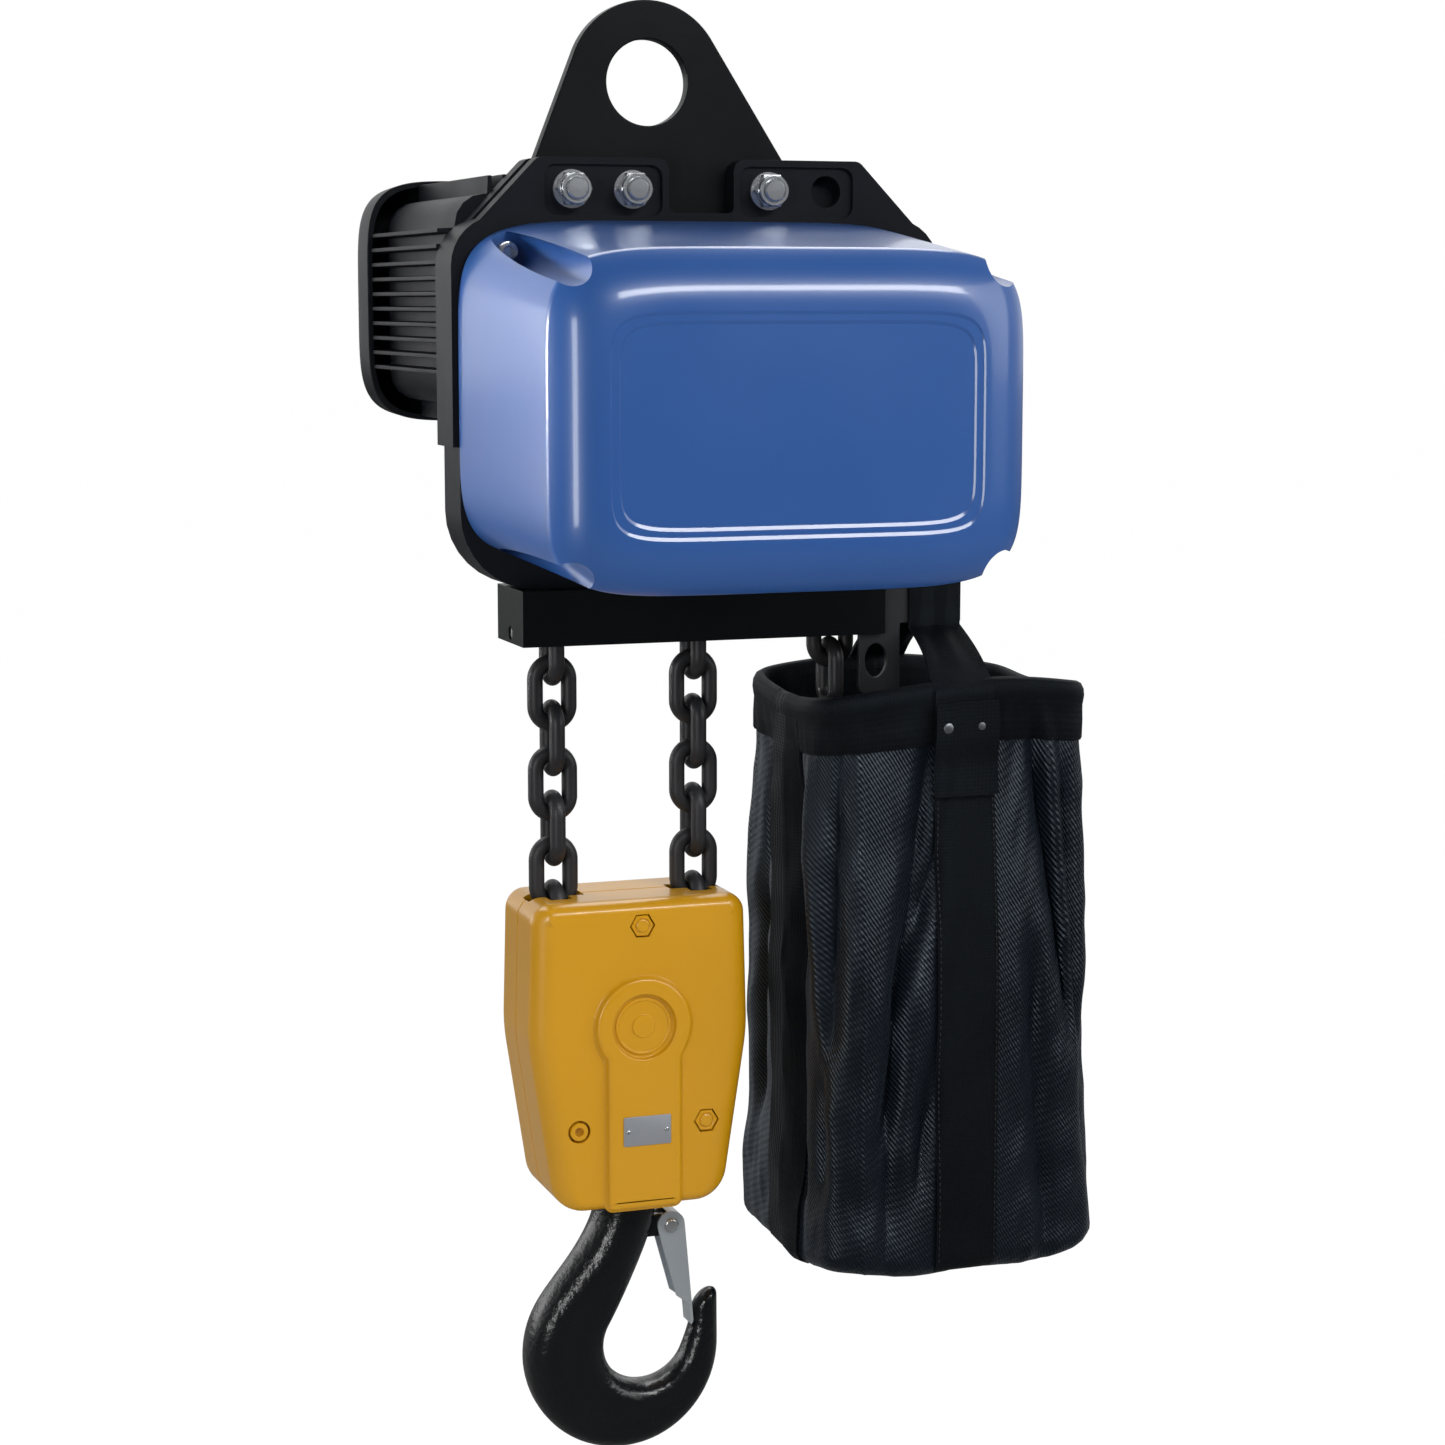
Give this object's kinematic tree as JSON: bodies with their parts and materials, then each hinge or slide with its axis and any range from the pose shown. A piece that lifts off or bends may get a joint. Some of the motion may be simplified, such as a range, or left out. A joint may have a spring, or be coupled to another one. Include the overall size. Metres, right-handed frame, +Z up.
{
  "type": "chain hoist",
  "caption": "Electric two-fall chain hoist hung from a plate with an eye, with a blue control cover, a finned motor, a yellow hook block, a latched hook and a fabric chain bag.",
  "frame": {"origin": "centre of the suspension eye", "axes": "+Z up, +X to the right along the control cover as seen from the front, +Y back to the motor"},
  "size_m": [0.4972, 0.5206, 1.0934],
  "materials": {
    "black_casting": "semi-gloss black paint on a casting",
    "black_steel": "black painted steel",
    "blue_paint": "glossy blue paint",
    "yellow_paint": "glossy yellow paint",
    "zinc": "bright zinc plate",
    "bare_steel": "machined steel",
    "winding": "laminations and copper winding",
    "rubber": "matte",
    "brake_lining": "matte friction lining",
    "grey_plastic": "matte",
    "bag_fabric": "black woven nylon",
    "chain_steel": "dark manganese phosphate"
  },
  "bodies": {
    "frame": {"suspension_plate": "black_steel", "main_housing": "black_casting", "motor_housing": "black_casting", "motor_end_cover": "black_casting", "control_cover": "blue_paint", "cover_gasket": "rubber", "chain_guide_bar": "black_steel", "suspension_bolt_1": "zinc", "suspension_bolt_2": "zinc", "suspension_bolt_3": "zinc", "cover_screw_1": "zinc", "cover_screw_2": "zinc", "cover_screw_3": "zinc", "cover_screw_4": "zinc", "stator": "winding", "brake_magnet": "bare_steel", "gear_lid": "bare_steel", "control_unit": "grey_plastic", "chain_anchor_pin": "bare_steel", "bag_bracket": "black_steel", "chain_bag": "bag_fabric", "bag_sling": "bag_fabric", "dead_fall_link_1": "chain_steel", "dead_fall_link_2": "chain_steel", "dead_fall_link_3": "chain_steel", "dead_fall_link_4": "chain_steel", "dead_fall_link_5": "chain_steel", "dead_fall_link_6": "chain_steel", "dead_fall_link_7": "chain_steel"},
    "motor_shaft": {"motor_rotor": "bare_steel", "brake_disc": "brake_lining"},
    "countershaft": {"reduction_gear": "bare_steel"},
    "wheel_shaft": {"load_wheel": "bare_steel"},
    "running_fall": {"running_fall_link_1": "chain_steel", "running_fall_link_2": "chain_steel", "running_fall_link_3": "chain_steel", "running_fall_link_4": "chain_steel", "running_fall_link_5": "chain_steel", "running_fall_link_6": "chain_steel", "running_fall_link_7": "chain_steel", "running_fall_link_8": "chain_steel", "running_fall_link_9": "chain_steel"},
    "slack_fall": {"slack_fall_link_1": "chain_steel", "slack_fall_link_2": "chain_steel", "slack_fall_link_3": "chain_steel", "slack_fall_link_4": "chain_steel", "slack_fall_link_5": "chain_steel"},
    "hook_block": {"block_front_shell": "yellow_paint", "block_rear_shell": "yellow_paint", "sheave_axle": "bare_steel", "block_bolt_1": "zinc", "block_bolt_2": "zinc", "block_bolt_3": "zinc", "thrust_bearing": "bare_steel"},
    "sheave": {"return_sheave": "bare_steel"},
    "load_hook": {"hook": "black_steel", "hook_nut": "bare_steel", "latch_pin": "zinc"},
    "safety_latch": {"latch": "zinc", "latch_spring": "bare_steel"}
  },
  "joints": [
    {"name": "rotor_spin", "type": "hinge", "parent": "frame", "child": "motor_shaft", "pos_m": [-0.06, 0, -0.158], "axis": [0, 1, 0], "range_deg": [0, 1010]},
    {"name": "gear_spin", "type": "hinge", "parent": "frame", "child": "countershaft", "pos_m": [0.00845, 0, -0.23762], "axis": [0, 1, 0], "range_deg": [-276, 0]},
    {"name": "wheel_spin", "type": "hinge", "parent": "frame", "child": "wheel_shaft", "pos_m": [0.09165, 0, -0.255], "axis": [0, 1, 0], "range_deg": [0, 100]},
    {"name": "running_fall_slide", "type": "slide", "parent": "frame", "child": "running_fall", "axis": [0, 0, 1], "range_m": [0, 0.096]},
    {"name": "slack_fall_slide", "type": "slide", "parent": "frame", "child": "slack_fall", "axis": [0, 0, 1], "range_m": [-0.096, 0]},
    {"name": "lift", "type": "slide", "parent": "frame", "child": "hook_block", "axis": [0, 0, 1], "range_m": [0, 0.048]},
    {"name": "sheave_spin", "type": "hinge", "parent": "hook_block", "child": "sheave", "pos_m": [-0.019, 0, -0.693], "axis": [0, 1, 0], "range_deg": [-50, 0]},
    {"name": "hook_swivel", "type": "hinge", "parent": "hook_block", "child": "load_hook", "pos_m": [-0.019, 0, -0.834], "axis": [0, 0, 1], "continuous": true},
    {"name": "latch_open", "type": "hinge", "parent": "load_hook", "child": "safety_latch", "pos_m": [0.015, 0, -0.861], "axis": [0, 1, 0], "range_deg": [0, 38], "stiffness_Nm_per_rad": 0.3, "springref_deg": -17.19}
  ],
  "couplings": [
    {"joint": "lift", "follows": "rotor_spin", "m_per_rad": 0.0027161},
    {"joint": "running_fall_slide", "follows": "rotor_spin", "m_per_rad": 0.0054321},
    {"joint": "slack_fall_slide", "follows": "rotor_spin", "m_per_rad": -0.0054321},
    {"joint": "sheave_spin", "follows": "rotor_spin", "ratio": -0.049091},
    {"joint": "wheel_spin", "follows": "rotor_spin", "ratio": 0.098182},
    {"joint": "gear_spin", "follows": "rotor_spin", "ratio": -0.27273}
  ]
}
